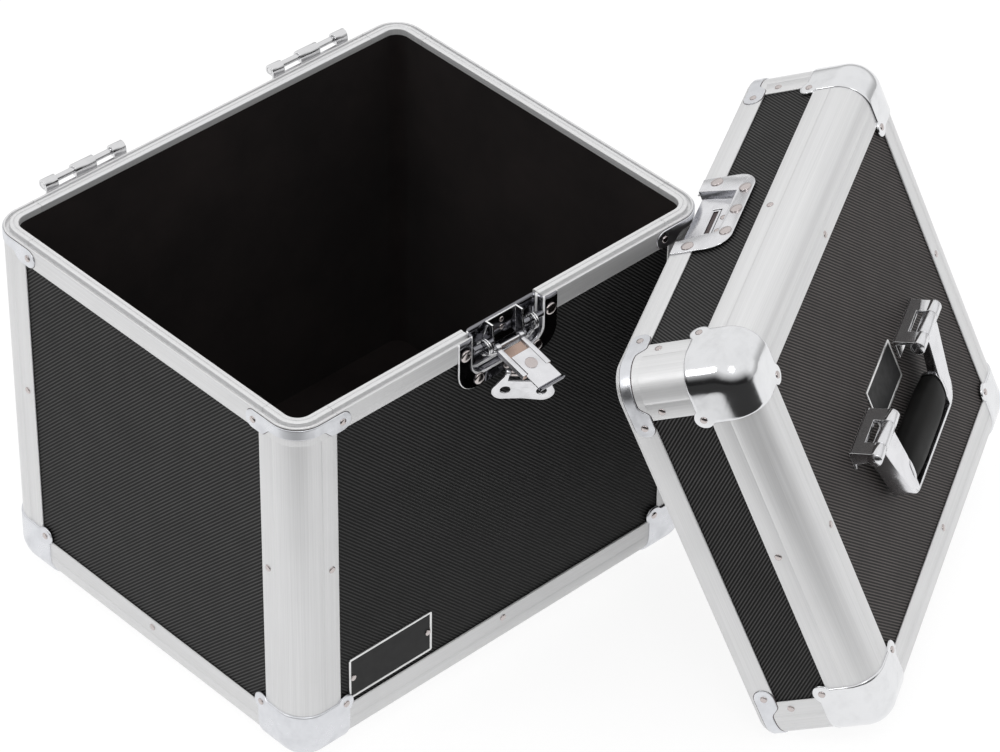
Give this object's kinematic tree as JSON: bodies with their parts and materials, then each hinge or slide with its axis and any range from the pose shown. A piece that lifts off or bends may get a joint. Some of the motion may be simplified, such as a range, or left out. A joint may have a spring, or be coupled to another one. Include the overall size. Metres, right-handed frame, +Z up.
{
  "type": "record carrying case",
  "caption": "Record carrying case with ribbed dark panels, rounded metal edging and ball corners, a butterfly latch and a lift-off lid with folding handle leaning beside it.",
  "frame": {"origin": "on the floor under the middle of the box", "axes": "+X to the box's right seen from its latch wall, -Y out of the latch wall, +Z up"},
  "size_m": [0.5721, 0.5469, 0.3051],
  "materials": {
    "laminate": "satin",
    "edging_metal": "satin",
    "pressed_steel": "satin",
    "bright_plate": "polished",
    "lining": "matte",
    "grip_rubber": "matte"
  },
  "bodies": {
    "case": {"front_panel": "laminate", "back_panel": "laminate", "left_panel": "laminate", "right_panel": "laminate", "floor_panel": "laminate", "wall_lining": "lining", "floor_lining": "lining", "upright_front_left": "edging_metal", "upright_front_right": "edging_metal", "upright_back_right": "edging_metal", "upright_back_left": "edging_metal", "base_edging_front": "edging_metal", "base_edging_right": "edging_metal", "base_edging_back": "edging_metal", "base_edging_left": "edging_metal", "rim_rail_front": "edging_metal", "rim_rail_right": "edging_metal", "rim_rail_back": "edging_metal", "rim_rail_left": "edging_metal", "box_rim_corners": "pressed_steel", "box_ball_corners": "pressed_steel", "hinge_leaves": "bright_plate", "hinge_rods": "bright_plate", "latch_dish": "bright_plate", "latch_cradle": "bright_plate", "latch_pins": "bright_plate", "latch_springs": "bright_plate", "box_label_plate": "bright_plate", "box_rivets": "pressed_steel"},
    "lid": {"lid_top_panel": "laminate", "lid_front_panel": "laminate", "lid_right_panel": "laminate", "lid_back_panel": "laminate", "lid_left_panel": "laminate", "lid_wall_lining": "lining", "lid_top_lining": "lining", "lid_edging_front": "edging_metal", "lid_edging_right": "edging_metal", "lid_edging_back": "edging_metal", "lid_edging_left": "edging_metal", "lid_uprights": "edging_metal", "lid_rail_front": "edging_metal", "lid_rail_right": "edging_metal", "lid_rail_back": "edging_metal", "lid_rail_left": "edging_metal", "lid_rim_corners": "pressed_steel", "lid_ball_corners": "pressed_steel", "lid_hinge_hooks": "bright_plate", "keeper_plate": "bright_plate", "handle_brackets": "bright_plate", "handle_pins": "bright_plate", "lid_label_plate": "bright_plate", "lid_rivets": "pressed_steel"},
    "tongue": {"tongue": "bright_plate"},
    "draw_frame": {"draw_frame": "bright_plate"},
    "wing_spindle": {"wing_spindle": "bright_plate"},
    "wing": {"wing": "bright_plate", "wing_pin": "bright_plate"},
    "handle": {"handle_bail": "bright_plate", "handle_grip": "grip_rubber"}
  },
  "joints": [
    {"name": "lid_lift", "type": "slide", "parent": "case", "child": "lid", "axis": [0, 0, 1], "range_m": [0, 0.3]},
    {"name": "handle_swing", "type": "hinge", "parent": "lid", "child": "handle", "pos_m": [0.23006, -0.27787, 0.18019], "axis": [-0.8691, -0.4947, 0], "range_deg": [0, 90]},
    {"name": "latch_swing", "type": "hinge", "parent": "case", "child": "draw_frame", "pos_m": [0, -0.1485, 0.2592], "axis": [1, 0, 0], "range_deg": [-105, 0]},
    {"name": "tongue_slide", "type": "slide", "parent": "draw_frame", "child": "tongue", "axis": [0, -0.9659, -0.2588], "range_m": [0, 0.003]},
    {"name": "wing_turn", "type": "hinge", "parent": "draw_frame", "child": "wing_spindle", "pos_m": [0, -0.16869, 0.25379], "axis": [0, -0.2588, 0.9659], "range_deg": [0, 70]},
    {"name": "wing_fold", "type": "hinge", "parent": "wing_spindle", "child": "wing", "pos_m": [0, -0.16625, 0.24471], "axis": [0.8192, -0.554, -0.1485], "range_deg": [-90, 0]}
  ],
  "couplings": [
    {"joint": "tongue_slide", "follows": "wing_turn", "m_per_rad": 0.0024555}
  ]
}
